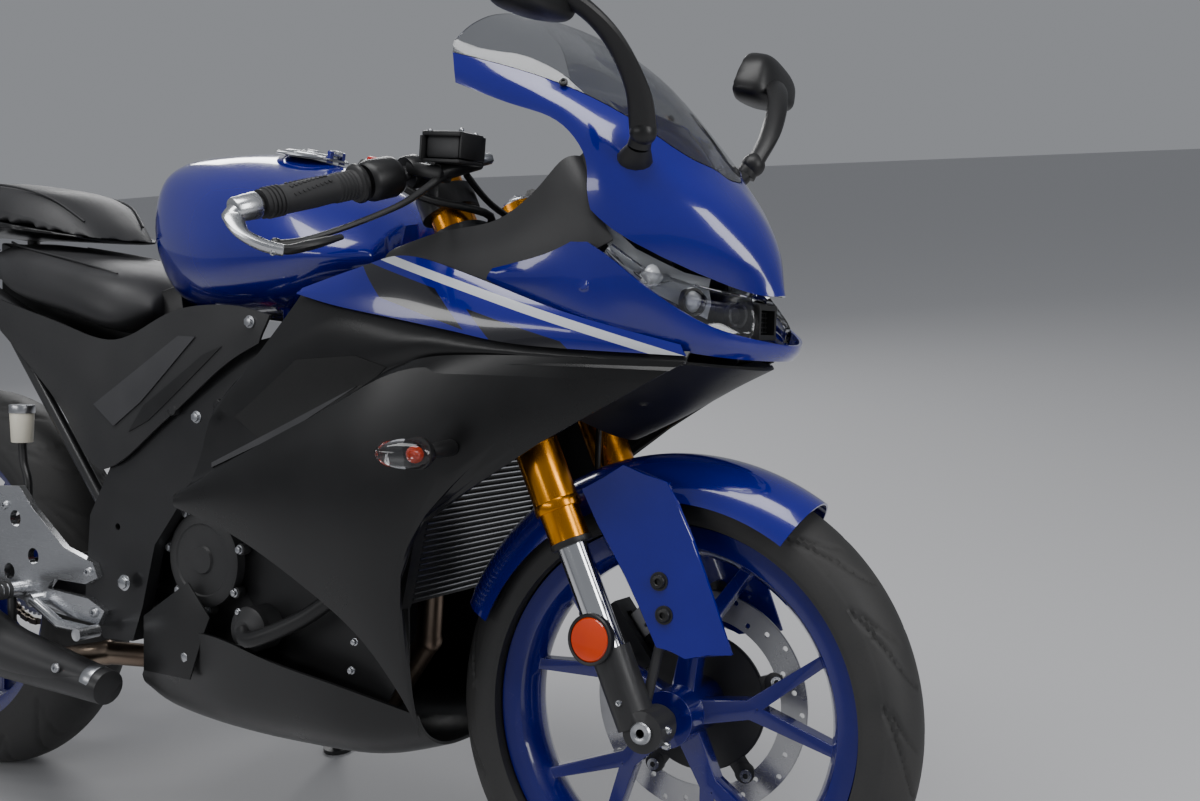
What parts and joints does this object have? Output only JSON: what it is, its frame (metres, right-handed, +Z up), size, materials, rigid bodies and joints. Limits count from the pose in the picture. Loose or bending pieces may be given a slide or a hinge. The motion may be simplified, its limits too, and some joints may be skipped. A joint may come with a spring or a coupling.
{
  "type": "sport motorcycle",
  "caption": "Fully faired road sport motorcycle with inverted fork, clip-on bars and side stand, parked leaning on the stand.",
  "frame": {"origin": "centre of the bounding box on the ground, machine parked on its side stand", "axes": "+X forward, +Y to the rider's left, +Z up"},
  "size_m": [1.9871, 0.7689, 1.1651],
  "materials": {
    "gloss_blue": "gloss",
    "rim_blue": "gloss",
    "satin_black": "satin",
    "grey_plastic": "matte",
    "black_frame": "satin",
    "black_casting": "satin",
    "engine_black": "matte",
    "seat_vinyl": "matte",
    "clear_screen": "gloss",
    "lamp_clear": "gloss",
    "indicator_lens": "gloss",
    "tail_red": "gloss",
    "black_plastic": "satin",
    "exhaust_steel": "heat tinted",
    "exhaust_black": "satin",
    "silver_alloy": "satin",
    "bright_steel": "polished",
    "chain_steel": "oiled",
    "gold_anodised": "anodised",
    "grip_rubber": "matte",
    "tyre_rubber": "matte",
    "brake_steel": "brushed"
  },
  "bodies": {
    "root": {"main_frame": "black_frame", "engine": "engine_black", "radiator": "engine_black", "fuel_tank": "gloss_blue", "rider_seat": "seat_vinyl", "pillion_seat": "seat_vinyl", "tail_cowl": "satin_black", "side_covers": "grey_plastic", "side_fairing_left": "satin_black", "side_fairing_right": "satin_black", "flash_panels": "gloss_blue", "belly_pan": "satin_black", "nose_cowl": "gloss_blue", "nose_sides": "gloss_blue", "windscreen": "clear_screen", "headlights": "lamp_clear", "nose_intake": "satin_black", "chin_cowl": "satin_black", "cockpit_panels": "grey_plastic", "fairing_stay": "black_frame", "dashboard": "black_plastic", "mirrors": "black_plastic", "indicators": "indicator_lens", "exhaust_pipe": "exhaust_steel", "silencer": "exhaust_black", "rearsets": "silver_alloy", "swingarm": "black_frame", "rear_shock": "bright_steel", "drive_chain": "chain_steel", "rear_mudguard": "satin_black", "tail_light": "tail_red", "rear_caliper": "black_casting"},
    "steering": {"yokes": "black_casting", "fork_tubes": "gold_anodised", "fork_stanchions": "bright_steel", "axle_clamps": "black_casting", "clip_ons": "black_casting", "grips": "grip_rubber", "hand_controls": "black_casting", "front_mudguard": "gloss_blue", "front_caliper": "black_casting"},
    "front_wheel": {"front_rim": "rim_blue", "front_tyre": "tyre_rubber", "front_disc": "brake_steel"},
    "rear_wheel": {"rear_rim": "rim_blue", "rear_tyre": "tyre_rubber", "rear_disc": "brake_steel", "rear_sprocket": "chain_steel"},
    "side_stand": {"side_stand": "exhaust_black"},
    "fuel_cap": {"fuel_cap": "bright_steel"}
  },
  "joints": [
    {"name": "steering", "type": "hinge", "parent": "root", "child": "steering", "pos_m": [0.39867, -0.01352, 0.80639], "axis": [-0.4305, 0.1567, 0.8889], "range_deg": [-36, 24]},
    {"name": "front_wheel_spin", "type": "hinge", "parent": "steering", "child": "front_wheel", "pos_m": [0.69827, -0.0994, 0.29163], "axis": [-0.0943, 0.9716, -0.217], "continuous": true},
    {"name": "rear_wheel_spin", "type": "hinge", "parent": "root", "child": "rear_wheel", "pos_m": [-0.6265, -0.101, 0.31029], "axis": [0, 0.9848, -0.1736], "continuous": true},
    {"name": "side_stand_fold", "type": "hinge", "parent": "root", "child": "side_stand", "pos_m": [-0.114, 0.05397, 0.23321], "axis": [0.0592, 0.9768, 0.2059], "range_deg": [0, 94]},
    {"name": "fuel_cap_lid", "type": "hinge", "parent": "root", "child": "fuel_cap", "pos_m": [0.13983, 0.01551, 0.97103], "axis": [0, 0.9848, -0.1736], "range_deg": [0, 90]}
  ]
}
